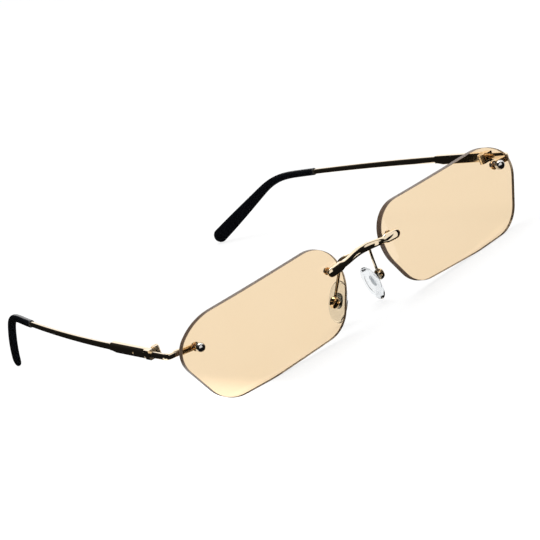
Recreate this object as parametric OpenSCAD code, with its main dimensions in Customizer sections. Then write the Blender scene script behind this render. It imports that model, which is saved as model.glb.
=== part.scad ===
/* [Lenses] */
// Width of each lens, from its nose edge to its outer edge
lens_w = 57.4; // [54:0.1:60]
// Height of each lens
lens_h = 28.8; // [26:0.1:31]
// Thickness of each lens
lens_t = 2.2; // [1.8:0.1:2.5]
// Radius of the lens's front surface
lens_curve = 420; // [300:10:800]
// Gap between the two lenses at the nose
nose_gap = 17.3; // [16:0.1:20]
// Angle by which each lens turns back towards the ear
wrap = 7.1; // [4:0.1:9]
// Height of the bridge's holes above the lens's foot
bridge_z = 20.1; // [18:0.1:21]
// Height of the endpieces' holes above the lens's foot
end_z = 19.6; // [18:0.1:21]
// Distance of the bridge hole from the lens's nose edge
bridge_hole_in = 4; // [3.6:0.1:5]
// Distance of the endpiece hole from the lens's outer edge
end_hole_in = 5.7; // [5:0.1:7]

/* [Lens fittings] */
// Diameter of the studs that pass through the lenses
stud_d = 1; // [0.9:0.05:1.2]
// Radial clearance of a stud in its lens hole
stud_gap = 0.15; // [0.08:0.01:0.25]
// Diameter of the small nuts behind the bridge
nut_d = 2.3; // [2:0.1:2.6]
// Height of the small nuts
nut_h = 1.2; // [1:0.1:1.6]
// Diameter of the domed nuts on the lens fronts
dome_d = 2.8; // [2.4:0.1:3]
// Height of the domed nuts
dome_h = 2.3; // [2:0.1:2.4]

/* [Bridge] */
// Height of the bridge bar at its middle
bar_h = 2.5; // [1.8:0.1:2.8]
// Height of the bridge bar on the lenses
bar_end_h = 3; // [2.4:0.1:3.2]
// Height of the bridge bar where it crosses each lens's edge
bar_waist = 2.2; // [1.8:0.1:2.4]
// Thickness of the bridge bar, front to back
bar_t = 1.8; // [1.4:0.1:2.2]
// Rise of the bar's middle above its ends
bar_rise = 0.9; // [0:0.1:2]
// Set-back of the bar's middle behind its ends
bar_back = 1.3; // [0:0.1:1.6]
// Length of the bar's rounded nose past its stud
bar_nose = 1.8; // [1.4:0.1:2.2]

/* [Endpieces] */
// Width of the endpiece bar, front to back
rod_w = 1.4; // [1.2:0.1:1.6]
// Height of the endpiece bar
rod_h = 2; // [1.6:0.1:2.2]
// Centre radius of the bar's bend
bend_r = 2; // [1.2:0.1:2.4]
// Diameter of the flat disc that seats behind the lens
disc_d = 2.8; // [2.4:0.1:3.2]
// Thickness of the disc
disc_t = 0.7; // [0.5:0.1:1]

// Height of the left hinge's rod above its lens hole
lift_left = 0.7; // [-0.8:0.1:0.8]
// Height of the right hinge's rod above its lens hole
lift_right = -0.6; // [-0.8:0.1:0.8]

/* [Hinges] */
// Distance of each hinge pin outside its lens's outer hole
hinge_out = 5.05; // [4.6:0.05:6]
// Distance of each hinge pin behind the lens centres
hinge_y = 17.7; // [16.5:0.1:20]
// Upward tilt of the left hinge and arm
tilt_left = 1.7; // [-1:0.1:3]
// Upward tilt of the right hinge and arm
tilt_right = -0.2; // [-1:0.1:3]
// Angle by which the hinge boxes point inwards
toe_in = 4.5; // [2:0.1:6]
// Distance of the box's middle outside the hinge pin
box_off = 2.3; // [2.2:0.05:2.6]
// Width of the hinge box
box_w = 2; // [1.9:0.05:2.2]
// Height of the hinge box
box_h = 3; // [2.8:0.1:3.6]
// Length of the hinge box
box_len = 21.5; // [19:0.5:26]
// Gap between the endpiece's rear face and the box
face_gap = 0.3; // [0.25:0.01:0.4]
// Outer radius of the hinge knuckles
knuckle_r = 1.25; // [1.1:0.05:1.3]
// Height of the middle knuckle
knuckle_h = 1; // [0.8:0.1:1.2]
// Diameter of the hinge screw's shank
screw_d = 1.1; // [0.9:0.05:1.2]
// Running clearance of the hinge screw
run_gap = 0.05; // [0.03:0.01:0.08]
// Diameter of the spring's bore in the box
cavity_d = 1.5; // [1.4:0.05:1.6]
// Diameter of the slider's rod
slider_d = 0.8; // [0.6:0.05:0.9]
// Travel of the spring hinge
spring_travel = 1; // [0.6:0.1:1.5]
// Turns of the hinge spring
spring_turns = 11; // [6:1:14]

/* [Arms] */
// Length of each arm between the box and the sleeve's mouth
arm_len = 57; // [50:1:66]
// Width of the arm
arm_w = 1.4; // [1.2:0.1:1.7]
// Height of the arm at the box
arm_h = 1.9; // [1.4:0.1:2]
// Height of the arm at the sleeve's mouth
arm_end_h = 1.4; // [1.2:0.1:1.7]
// Angle by which each arm has turned inwards at the sleeve
bow = 6; // [3:0.5:8]

/* [Tips] */
// Length of the sleeve
tip_len = 55; // [44:1:58]
// Diameter of the sleeve at its mouth
mouth_d = 2.3; // [2:0.1:2.6]
// Height of the sleeve's paddle
paddle_h = 4.6; // [4:0.1:6]
// Thickness of the sleeve's paddle
paddle_t = 2.3; // [2:0.1:3]
// Straight length of the sleeve before its bend
bend_start = 8; // [8:1:14]
// Length of the bend over the ear
bend_len = 20; // [14:1:24]
// Angle by which each arm has turned inwards at its tip
tuck = 24; // [12:1:26]
// Diameter of the core wire in the sleeve
core_d = 1.1; // [0.9:0.1:1.3]
// Gap between the core wire and the sleeve
core_gap = 0.1; // [0.05:0.01:0.2]

/* [Nose pads] */
// Distance of each pad box from the middle of the frame
pad_x = 9.4; // [9:0.1:11]
// Distance of each pad box behind the lens centres
pad_y = 7.4; // [7:0.1:9]
// Height of each pad box above the lens's foot
pad_z = 8.2; // [7:0.1:10]
// Length of each pad
pad_len = 13.5; // [11:0.5:14.5]
// Width of each pad
pad_w = 7; // [6:0.5:8]
// Thickness of each pad
pad_t = 2.2; // [1.8:0.1:3]
// Angle by which the left pad opens towards the face
splay_left = 12; // [0:1:20]
// Angle by which the right pad opens towards the face
splay_right = -6; // [-10:1:20]
// Angle by which the pads open downwards
pad_flare = 17; // [10:1:22]
// Angle by which the pads lean back at their foot
pad_lean = 22; // [10:1:26]
// Diameter of the pad arm's wire
wire_d = 0.9; // [0.8:0.05:1.1]
// Width and depth of the pad box
pad_box = 2.6; // [2.4:0.1:3]
// Height of the pad box
pad_box_h = 3.6; // [3:0.1:3.8]
// Diameter of the pad screw's shank
pin_d = 0.7; // [0.6:0.05:0.8]

/* [Hidden] */

left = -1;
right = 1;
gold = "gold";
fine = 48;    // sides of a small round
seat = 0.05;  // gap between pieces that seat on each other

// Lens outline: share of the width, share of the height, corner radius
lens_corners = [
    [0.033, 1.014, 9.6], [0.867, 0.955, 18], [1.038, 0.674, 7.8], [0.869, 0, 10.8],
    [0.571, 0, 47], [0.106, 0.068, 10], [-0.014, 0.5625, 14]
];
centre_share = 0.573;                        // optical centre, as a share of the width
centre_z = lens_h * 0.628;                   // height of the optical centre
lens_x = nose_gap / 2 + lens_w * centre_share * cos(wrap);
bridge_u = -lens_w * centre_share + bridge_hole_in;
claw_u = -lens_w * centre_share + 0.5;       // edge claw of the bridge
end_u = lens_w * (1 - centre_share) - end_hole_in;
hinge_x = lens_x + end_u * cos(wrap) + hinge_out;
hole_r = stud_d / 2 + stud_gap;

// Depth of the lens's front surface behind its middle, at a place on the lens
function front_n(u, z) = lens_curve - sqrt(pow(lens_curve, 2) - u * u - pow(z - centre_z, 2));
// Point of the frame for a place on the right lens: across, depth, height
function on_lens(u, n, z) = [lens_x + u * cos(wrap) - n * sin(wrap), u * sin(wrap) + n * cos(wrap), z];
function lift(side) = end_z + (side < 0 ? lift_left : lift_right);

bridge_front = front_n(bridge_u, bridge_z);
end_front = front_n(end_u, end_z);
slope_gap = 0.1;                            // room for the lens's slope under a flat seat
end_rear = end_front + lens_t + slope_gap;
bridge_rear = bridge_front + lens_t + slope_gap;

// Bridge bar, along the width of the frame
bar_x = on_lens(bridge_u, bridge_front, bridge_z)[0] + bar_nose;
bar_y = on_lens(claw_u, front_n(claw_u, bridge_z), bridge_z)[1] - 0.25 - bar_t / 2;
back_x = nose_gap / 2 - 0.9;                 // the set-back ends just inside the lenses

// Hinge: a frame at the pin, with x outwards and y along the box
ear_rear = 1.6;                              // rear face of the endpiece's leaf
box_front = ear_rear + face_gap;
box_rear = box_front + box_len;
leaf_front = -1.3;
slot_gap = 0.05;                             // above and below the middle knuckle
ear_top = knuckle_h / 2 + slot_gap + 0.7;
arm_turn_0 = 0.6;                            // turn of the arm as it leaves the box
paddle_r = paddle_h / 2;
cap_len = 1.4;
wall = 0.4;                                  // outer wall of the leaf beside the slot
edge_r = 0.2;                                // rounding of the box's and leaf's long edges
head_r = cavity_d / 2 - 0.05;
spring_from = box_front + seat + cap_len + seat;
spring_to = spring_from + spring_turns * 0.5 + 0.3;
head_len = 0.8;

function unit(v) = v / norm(v);
function lerp(a, b, t) = a + (b - a) * t;
function ease(t) = t <= 0 ? 0 : t >= 1 ? 1 : t * t * (3 - 2 * t);
function tilt(side) = side < 0 ? tilt_left : tilt_right;
// A point of the straight frame, tilted with its arm about the endpiece's bend
function tilted(side, p) =
    [p[0], turn_y + (p[1] - turn_y) * cos(tilt(side)) - p[2] * sin(tilt(side)),
     lift(side) + (p[1] - turn_y) * sin(tilt(side)) + p[2] * cos(tilt(side))];

// Round corner of an outline between two edges
function corner(a, b, c, r, n) =
    let (d1 = unit(a - b), d2 = unit(c - b), half = acos(d1 * d2) / 2,
         mid = b + unit(d1 + d2) * r / sin(half),
         p1 = b + d1 * r / tan(half) - mid, p2 = b + d2 * r / tan(half) - mid,
         a1 = atan2(p1[1], p1[0]), turn = atan2(p2[1], p2[0]) - a1,
         da = turn > 180 ? turn - 360 : turn < -180 ? turn + 360 : turn)
    [for (k = [0:n]) mid + r * [cos(a1 + da * k / n), sin(a1 + da * k / n)]];
// Outline with round corners, from rows of x, y and radius
function rounded(rows, n) =
    [for (i = [0:len(rows) - 1])
        let (a = rows[(i + len(rows) - 1) % len(rows)], b = rows[i], c = rows[(i + 1) % len(rows)])
        for (p = corner([a[0], a[1]], [b[0], b[1]], [c[0], c[1]], b[2], n)) p];
function plate(w, h, r, n) =
    rounded([[-w / 2, -h / 2, r], [w / 2, -h / 2, r], [w / 2, h / 2, r], [-w / 2, h / 2, r]], n);
// Oval of half sizes w and h; a higher power squares it
function oval(w, h, n, power) =
    [for (i = [0:n - 1]) let (c = cos(360 * i / n), s = sin(360 * i / n))
        [w * sign(c) * pow(abs(c), 2 / power), h * sign(s) * pow(abs(s), 2 / power)]];
function ring(p, side_v, up_v, outline) = [for (q = outline) p + side_v * q[0] + up_v * q[1]];

// Closed skin over a row of rings with equal numbers of points
module skin(rings) {
    n = len(rings[0]);
    m = len(rings);
    polyhedron(
        points = [for (r = rings) for (p = r) p],
        faces = concat(
            [[for (i = [n - 1:-1:0]) i]],
            [for (j = [0:m - 2]) for (i = [0:n - 1])
                [j * n + i, (j + 1) * n + (i + 1) % n, (j + 1) * n + i]],
            [for (j = [0:m - 2]) for (i = [0:n - 1])
                [j * n + i, j * n + (i + 1) % n, (j + 1) * n + (i + 1) % n]],
            [[for (i = [0:n - 1]) (m - 1) * n + i]]));
}

module on_side(side) {
    if (side < 0) mirror([1, 0, 0]) children();
    else children();
}
module stand() translate([0, -mid_y, 0]) children();
// Frame of the right lens, with x outwards, y to the back and z up from its foot
module at_lens(side) stand() on_side(side) translate([lens_x, 0, 0]) rotate([0, 0, wrap]) children();
// Frame of a hinge pin at the middle of its knuckles
module at_hinge(side)
    stand() on_side(side)
        translate([0, turn_y, lift(side)])
            rotate([tilt(side), 0, 0])
                translate([hinge_x, hinge_y - turn_y, 0])
                    rotate([0, 0, toe_in]) children();
// Round bar along the depth of the frame
module along_y(d, from, to)
    translate([0, from, 0])
        rotate([-90, 0, 0]) cylinder(d = d, h = to - from, $fn = fine);

// Lenses

module lens_outline() {
    grow = min(lens_w / 57.4, lens_h / 28.8);
    polygon(rounded(
        [for (c = lens_corners) [(c[0] - centre_share) * lens_w, c[1] * lens_h, c[2] * grow]], 10));
}
// Round curved disc that the lens is cut from
module blank() {
    rings = [for (i = [0:8]) lens_w * 0.62 * i / 8];
    rotate([-90, 0, 0])
        rotate_extrude($fn = 96)
            polygon(concat(
                [for (r = rings) [r, lens_curve - sqrt(pow(lens_curve, 2) - r * r)]],
                [for (i = [8:-1:0]) let (r = rings[i])
                    [r, lens_curve - sqrt(pow(lens_curve - lens_t, 2) - r * r)]]));
}
module lens(side) {
    color([0.96, 0.86, 0.7, 0.6])
        at_lens(side)
            difference() {
                intersection() {
                    translate([0, 0, centre_z]) blank();
                    rotate([90, 0, 0])
                        translate([0, 0, -lens_t * 4]) linear_extrude(lens_t * 5) lens_outline();
                }
                for (p = [[bridge_u, bridge_z], [claw_u, bridge_z], [end_u, end_z]])
                    translate([p[0], 0, p[1]]) along_y(hole_r * 2, -1, lens_t * 3);
            }
}

// Bridge and the fittings on the lenses

function bar_path(x) =
    [x, bar_y + bar_back * ease(1 - abs(x) / back_x), bridge_z - 0.1 + bar_rise * ease(1 - abs(x) / bar_x)];
// Half sizes of the bar, front to back and in height, drawn in to a round nose
function bar_size(x) =
    let (over = max(0, (abs(x) - bar_x + bar_nose) / bar_nose), nose = sqrt(max(0.04, 1 - over * over)),
         mid_h = lerp(bar_waist, bar_h, ease(1 - abs(x) / back_x)))
    [bar_t / 2, lerp(mid_h, bar_end_h, ease((abs(x) - back_x) / 1.6)) / 2] * nose;
bar_stations = concat([for (i = [0:5]) -bar_x + bar_nose * (1 - cos(90 * i / 5))],
                      [for (i = [1:23]) lerp(-bar_x + bar_nose, bar_x - bar_nose, i / 24)],
                      [for (i = [0:5]) bar_x - bar_nose * (1 - sin(90 * i / 5))]);
module bridge() {
    color(gold) {
        stand()
            skin([for (x = bar_stations)
                let (size = bar_size(x))
                ring(bar_path(x), [0, -1, 0], [0, 0, 1], oval(size[0], size[1], 16, 2.4))]);
        for (side = [left, right])
            at_lens(side)
                for (stud = [[bridge_u, seat + nut_h], [claw_u, 0.6]])
                    translate([stud[0], 0, bridge_z])
                        along_y(stud_d, bridge_front - bar_t / 2 - 0.3, bridge_rear + stud[1]);
    }
}
// Nut with a rounded back, bored for the stud
module cap_nut(d, h, bore, depth) {
    difference() {
        intersection() {
            along_y(d, 0, h);
            translate([0, h - d * 0.62, 0]) sphere(d = d * 1.24, $fn = 96);
        }
        along_y(bore, -1, depth);
    }
}
module bridge_nuts() {
    color(gold)
        for (side = [left, right])
            at_lens(side)
                translate([bridge_u, bridge_rear + seat, bridge_z])
                    cap_nut(nut_d, nut_h, stud_d + 2 * run_gap, nut_h + 1);
}
// Endpieces

// The rod's line behind the lens, and the corner where it meets the hinge's line
disc_from = end_rear + seat;
rod_n = max(disc_from + disc_t, front_n(end_u + end_hole_in, end_z) + lens_t + rod_w / 2 + 0.15);
rod_start = on_lens(end_u, rod_n, 0);
hinge_p = [hinge_x, hinge_y, 0];
back_v = [-sin(toe_in), cos(toe_in), 0];
out_v = [cos(wrap), sin(wrap), 0];
line_p = hinge_p + box_off * [cos(toe_in), sin(toe_in), 0];
across_v = [cos(toe_in), sin(toe_in), 0];
corner_run = ((line_p - rod_start) * across_v) / (out_v * across_v);
bend_turn = 90 + toe_in - wrap;
bend_in = bend_r * tan(bend_turn / 2);
rod_corner = rod_start + out_v * corner_run;
bend_from = rod_corner - out_v * bend_in;
bend_to = rod_corner + back_v * bend_in;
turn_y = bend_to[1];                         // each arm tilts about the end of its rod's bend

module endpiece(side) {
    first = rod_start + [0, 0, end_z];
    run = bend_from + [0, 0, lift(side)] - first;
    bend_mid = bend_from + bend_r * [-sin(wrap), cos(wrap), 0] + [0, 0, lift(side)];
    path = concat(
        [for (i = [0:3]) first - unit(run) * rod_h / 2 * cos(18 + 24 * i)],
        [first + run / 3, first + run * 0.8],
        [for (i = [0:8]) let (a = wrap - 90 + bend_turn * i / 8) bend_mid + bend_r * [cos(a), sin(a), 0]],
        [for (p = [bend_to + [0, 0.4, 0], line_p + back_v * (leaf_front - seat)]) tilted(side, p)]);
    color(gold) {
        at_lens(side)
            translate([end_u, 0, end_z]) {
                along_y(stud_d, end_front - slope_gap - dome_h * 0.6, rod_n);
                along_y(disc_d, disc_from, disc_from + disc_t);
            }
        stand() on_side(side)
            skin([for (i = [0:len(path) - 1])
                let (t = unit(path[min(i + 1, len(path) - 1)] - path[max(i - 1, 0)]),
                     side_v = unit([t[1], -t[0], 0]), r = i < 4 ? sin(18 + 24 * i) : 1)
                ring(path[i], side_v, cross(side_v, t), oval(r * rod_w / 2, r * rod_h / 2, 20, 3))]);
    }
}
module dome_nut(side) {
    color("silver")
        at_lens(side)
            translate([end_u, end_front - slope_gap, end_z])
                rotate([0, 0, 180])
                    difference() {
                        intersection() {
                            translate([0, dome_h - dome_d / 2, 0]) sphere(d = dome_d, $fn = 96);
                            along_y(dome_d + 1, 0, dome_h + 1);
                        }
                        along_y(stud_d + 2 * run_gap, -1, dome_h * 0.7);
                    }
}

// Hinges

module ear_outline() {
    circle(r = knuckle_r, $fn = fine);
    translate([0, -knuckle_r]) square([box_off - box_w / 2 + 0.2, knuckle_r * 2]);
}
module hinge_leaf(side) {
    notch_h = knuckle_h + 2 * slot_gap;
    color(gold)
        at_hinge(side)
            difference() {
                union() {
                    translate([box_off, leaf_front, 0])
                        rotate([-90, 0, 0])
                            linear_extrude(ear_rear - leaf_front) polygon(plate(box_w, box_h, edge_r, 4));
                    for (z = [notch_h / 2, -ear_top])
                        translate([0, 0, z]) linear_extrude(ear_top - notch_h / 2) ear_outline();
                }
                translate([1, leaf_front + 0.45, -notch_h / 2])
                    cube([box_off + box_w / 2 - wall - 1, 10, notch_h]);
                cylinder(d = screw_d + 2 * run_gap, h = 10, center = true, $fn = fine);
            }
}
module hinge_screw(side) {
    head_h = 0.35;
    color(gold)
        at_hinge(side)
            difference() {
                union() {
                    translate([0, 0, -ear_top])
                        cylinder(d = screw_d, h = 2 * ear_top + seat + 0.1, $fn = fine);
                    translate([0, 0, ear_top + seat])
                        cylinder(d = knuckle_r * 2 - 0.2, h = head_h, $fn = fine);
                }
                translate([-2, -0.15, ear_top + seat + head_h * 0.5]) cube([4, 0.3, 1]);
            }
}
module hinge_slider(side) {
    plate_rear = box_front - seat;
    color(gold)
        at_hinge(side)
            difference() {
                union() {
                    translate([0, 0, -knuckle_h / 2])
                        linear_extrude(knuckle_h) {
                            circle(r = knuckle_r, $fn = fine);
                            translate([0, -0.2]) square([box_off + 0.3, plate_rear + 0.2]);
                        }
                    translate([box_off, 0, 0]) {
                        along_y(slider_d, 1.2, spring_to + seat + head_len);
                        along_y(head_r * 2, spring_to + seat, spring_to + seat + head_len);
                    }
                }
                cylinder(d = screw_d + 2 * run_gap, h = 10, center = true, $fn = fine);
            }
}
// Side view of the box: full height, then a short ramp down to the arm
module box_side() {
    ramp = 2.6;
    polygon([
        [box_front, -box_h / 2], [box_rear - ramp - 1, -box_h / 2], [box_rear - 1, -arm_h / 2],
        [box_rear, -arm_h / 2], [box_rear, arm_h / 2], [box_rear - 1, box_h / 2], [box_front, box_h / 2]
    ]);
}
module hinge_box(side) {
    color(gold)
        at_hinge(side)
            difference() {
                intersection() {
                    translate([box_off, box_front, 0])
                        rotate([-90, 0, 0]) linear_extrude(box_len) polygon(plate(box_w, box_h, edge_r, 4));
                    rotate([90, 0, 90]) linear_extrude(box_off + box_w) box_side();
                }
                translate([box_off, 0, 0])
                    along_y(cavity_d, 0, spring_to + head_len + seat + spring_travel + 0.4);
            }
}
module spring_cap(side) {
    color("silver")
        at_hinge(side)
            translate([box_off, 0, 0])
                difference() {
                    along_y(cavity_d - 2 * 0.02, box_front + seat, box_front + seat + cap_len);
                    along_y(slider_d + 2 * run_gap, 0, box_rear);
                }
}
module cap_rivet(side) {
    color(gold)
        at_hinge(side)
            translate([box_off + box_w / 2, box_front + 7, 0])
                rotate([0, 90, 0]) cylinder(d = 0.6, h = 0.12, $fn = fine);
}
// Coil round the slider's rod: one unbroken wire on a helix
module spring(side) {
    wire = 0.2;
    coil_r = (cavity_d + slider_d) / 4;
    steps = 10;
    count = spring_turns * steps;
    pitch = (spring_to - spring_from - wire) / spring_turns;
    color("silver")
        at_hinge(side)
            translate([box_off, spring_from + wire / 2, 0])
                skin([for (i = [0:count])
                    let (a = 360 * i / steps, radial = [cos(a), 0, sin(a)])
                    ring(coil_r * radial + [0, pitch * i / steps, 0], radial, [0, -1, 0],
                         oval(wire / 2, wire / 2, 6, 2))]);
}

// Arms and tips, in the frame of the hinge: s runs back from the box's rear

function heading(s) =
    s < arm_len ? lerp(arm_turn_0, bow, s / arm_len) : lerp(bow, tuck - toe_in, (s - arm_len) / tip_len);
function slope(drop, s) = -drop * ease((s - arm_len - bend_start) / bend_len);
function tangent(h, c) = [-sin(h) * cos(c), cos(h) * cos(c), sin(c)];
function vsum(v, i = 0, t = [0, 0, 0]) = i >= len(v) ? t : vsum(v, i + 1, t + v[i]);

// Points of the centre line at a rising list of distances
function walk(drop, stops, i = 0, p = [box_off, box_rear, 0], from = 0) =
    i >= len(stops) ? []
    : let (n = max(1, ceil(stops[i] - from)), d = (stops[i] - from) / n,
           q = p + d * vsum([for (k = [0:n - 1])
               let (s = from + d * (k + 0.5)) tangent(heading(s), slope(drop, s))]))
      concat([q], walk(drop, stops, i + 1, q, stops[i]));
// A point of the centre line in the straight frame of the whole object
function line_point(side, drop, s) =
    let (p = walk(drop, [s])[0])
    tilted(side, [hinge_x + p[0] * cos(toe_in) - p[1] * sin(toe_in),
                  hinge_y + p[0] * sin(toe_in) + p[1] * cos(toe_in), p[2]]);
// Drop of the tip that sets its round end on the ground
function solve_drop(side, lo = 10, hi = 80, n = 16) =
    let (mid = (lo + hi) / 2)
    n == 0 ? mid
    : line_point(side, mid, arm_len + tip_len - paddle_r)[2] > paddle_r ? solve_drop(side, mid, hi, n - 1)
    : solve_drop(side, lo, mid, n - 1);
drop_left = solve_drop(left);
drop_right = solve_drop(right);
function drop_of(side) = side < 0 ? drop_left : drop_right;

// Front and back of the whole object, so that the origin is under its middle
depth_front = bar_y - bar_t / 2;
depth_back = line_point(right, drop_right, arm_len + tip_len)[1];
mid_y = (depth_front + depth_back) / 2;

function station_ring(side, s, p, w, h, sides, power) =
    let (a = heading(s), c = slope(drop_of(side), s))
    ring(p, [cos(a), sin(a), 0], [sin(a) * sin(c), -cos(a) * sin(c), cos(c)],
         oval(w / 2, h / 2, sides, power));

core_len = tip_len * 0.72;
module arm(side) {
    arm_stops = [for (i = [0:9]) max(seat, arm_len * i / 9)];
    core_stops = [for (i = [0:12]) arm_len + 0.02 + core_len * i / 12];
    arm_points = walk(drop_of(side), arm_stops);
    core_points = walk(drop_of(side), core_stops);
    color(gold)
        at_hinge(side)
            skin(concat(
                [for (i = [0:9])
                    station_ring(side, arm_stops[i], arm_points[i], arm_w,
                                 lerp(arm_h, arm_end_h, arm_stops[i] / arm_len), 12, 8)],
                [for (i = [0:12])
                    station_ring(side, core_stops[i], core_points[i], core_d, core_d, 12, 2)]));
}
// Outer width and height of the sleeve, by the distance from its mouth
function tip_size(t) =
    let (flat = ease((t - bend_start) / (tip_len - bend_start)),
         over = max(0, (t - tip_len + paddle_r) / paddle_r),
         close = sqrt(max(0.02, 1 - over * over)),
         lip = t < 0.4 ? lerp(0.86, 1, t / 0.4) : 1)
    [lerp(mouth_d, paddle_t, flat) * sqrt(close), lerp(mouth_d, paddle_h, flat) * close] * lip;
module tip(side) {
    bore = core_d / 2 + core_gap;
    out_t = concat([0, 0.4, 2], [for (i = [1:14]) lerp(2, tip_len - paddle_r, i / 14)],
                   [for (i = [1:5]) tip_len - paddle_r * (1 - sin(90 * i / 5))]);
    in_t = [for (i = [12:-1:0]) (core_len + 0.5) * i / 12];
    out_points = walk(drop_of(side), [for (t = out_t) arm_len + 0.1 + t]);
    in_points = walk(drop_of(side), [for (i = [0:12]) arm_len + 0.1 + (core_len + 0.5) * i / 12]);
    color([0.08, 0.08, 0.1])
        at_hinge(side)
            skin(concat(
                [for (i = [0:12])
                    station_ring(side, arm_len + in_t[i], in_points[12 - i], bore * 2, bore * 2, 16, 2)],
                [for (i = [0:len(out_t) - 1])
                    let (size = tip_size(out_t[i]))
                    station_ring(side, arm_len + out_t[i], out_points[i], size[0], size[1], 16, 2.3)]));
}

// Nose pads

// Frame of a pad box, with x towards the nose and z along the pad
module at_pad(side) {
    stand() on_side(side)
        translate([pad_x, pad_y, pad_z])
            rotate([pad_lean, 0, 0])
                rotate([0, -pad_flare, 0])
                    rotate([0, 0, 180 - (side < 0 ? splay_left : splay_right)]) children();
}
pad_slot = 1.1;                              // slot in the pad box
slab = 0.9;                                  // thickness of the insert's tab
pin_x = 0.45;                                // the pin, from the middle of the box
plate_gap = 0.4;                             // room for the insert's plate to rock
plate_t = 0.5;
module pad_pin_hole() translate([pin_x, 0, 0]) along_y(pin_d + 2 * run_gap, -5, 5);
module pad_box(side) {
    color(gold)
        at_pad(side)
            difference() {
                intersection() {
                    cube([pad_box, pad_box, pad_box_h], center = true);
                    sphere(d = pad_box_h * 1.12, $fn = 96);
                }
                translate([-0.5, -pad_slot / 2, -pad_box_h]) cube([pad_box, pad_slot, pad_box_h * 2]);
                pad_pin_hole();
            }
}
module pad_screws() {
    color(gold)
        for (side = [left, right])
            at_pad(side)
                translate([pin_x, 0, 0]) {
                    along_y(pin_d, -pad_box / 2, pad_box / 2 + seat + 0.1);
                    along_y(1.3, pad_box / 2 + seat, pad_box / 2 + seat + 0.4);
                }
}
module pad_insert(side) {
    color([0.9, 0.92, 0.94, 0.7])
        at_pad(side) {
            difference() {
                translate([-0.1, -slab / 2, -0.8]) cube([pad_box / 2 + plate_gap + 0.3, slab, 1.6]);
                pad_pin_hole();
            }
            translate([pad_box / 2 + plate_gap, 0, 0])
                rotate([0, 90, 0]) linear_extrude(plate_t) polygon(plate(5, 3, 1.2, 5));
        }
}
module nose_pad(side) {
    base = pad_box / 2 + plate_gap + plate_t + seat;
    rows = [[0, 0.8], [0.25, 0.95], [0.5, 1], [0.75, 0.94], [0.92, 0.78], [1, 0.5]];
    color([0.93, 0.95, 0.97, 0.5])
        at_pad(side)
            skin([for (r = rows)
                ring([base + r[0] * pad_t, -0.6, -1], [0, -1, 0], [0, 0, 1],
                     oval(pad_w / 2 * r[1], pad_len / 2 * r[1], 20, 2.3))]);
}
// Wire from the back of the bridge to the pad box
module pad_arm(side) {
    r = wire_d / 2;
    root = bar_path(1.6) + [0, bar_t / 2 + r + 0.03, 0];
    foot = [-sin(pad_flare), -sin(pad_lean) * cos(pad_flare), cos(pad_lean) * cos(pad_flare)];
    path = [
        root, root + [2.2, 0.9, 0.1], [5.5, 1.2, bridge_z + 0.2], [6.1, 1.9, bridge_z - 0.9],
        [6.7, 3.4, bridge_z - 3.6],
        [8.5, 6.5, bridge_z - 9.6], [pad_x, pad_y, pad_z] + foot * (pad_box_h / 2 + 0.12)
    ];
    fine_path = [for (k = [0:len(path) - 2]) for (j = [0:3]) spline(path, k, j / 4)];
    points = concat(fine_path, [path[len(path) - 1]]);
    color(gold)
        stand() on_side(side)
            skin([for (i = [0:len(points) - 1])
                let (t = unit(points[min(i + 1, len(points) - 1)] - points[max(i - 1, 0)]),
                     side_v = unit(cross(t, [0.3, -0.9, 0.2])), up_v = cross(side_v, t))
                ring(points[i], side_v, up_v, oval(r, r, 10, 2))]);
}
// Smooth curve through the points of a path
function spline(p, k, t) =
    let (a = p[max(k - 1, 0)], b = p[k], c = p[k + 1], d = p[min(k + 2, len(p) - 1)])
    0.5 * (2 * b + (c - a) * t + (2 * a - 5 * b + 4 * c - d) * t * t + (3 * b - a - 3 * c + d) * t * t * t);

echo(mid_y = mid_y, drop_left = drop_left, drop_right = drop_right);
echo(tip_left = line_point(left, drop_left, arm_len + tip_len));
echo(tip_right = line_point(right, drop_right, arm_len + tip_len));
echo(hinge_left = tilted(left, [-hinge_x, hinge_y, 0]), hinge_right = tilted(right, [hinge_x, hinge_y, 0]));

lens(left);  // lens_left
lens(right);  // lens_right
bridge();
bridge_nuts();
endpiece(left);  // endpiece_left
endpiece(right);  // endpiece_right
dome_nut(left);  // dome_nut_left
dome_nut(right);  // dome_nut_right
hinge_leaf(left);  // hinge_leaf_left
hinge_leaf(right);  // hinge_leaf_right
hinge_screw(left);  // hinge_screw_left
hinge_screw(right);  // hinge_screw_right
pad_arm(left);  // pad_arm_left
pad_arm(right);  // pad_arm_right
pad_box(left);  // pad_box_left
pad_box(right);  // pad_box_right
pad_screws();
hinge_slider(left);  // hinge_slider_left
hinge_slider(right);  // hinge_slider_right
hinge_box(left);  // hinge_box_left
hinge_box(right);  // hinge_box_right
spring(left);  // spring_left
spring(right);  // spring_right
spring_cap(left);  // spring_cap_left
spring_cap(right);  // spring_cap_right
cap_rivet(left);  // cap_rivet_left
cap_rivet(right);  // cap_rivet_right
arm(left);  // arm_left
arm(right);  // arm_right
tip(left);  // tip_left
tip(right);  // tip_right
pad_insert(left);  // pad_insert_left
pad_insert(right);  // pad_insert_right
nose_pad(left);  // nose_pad_left
nose_pad(right);  // nose_pad_right
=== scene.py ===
import bpy
import numpy as np
from mathutils import Matrix, Vector


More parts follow.
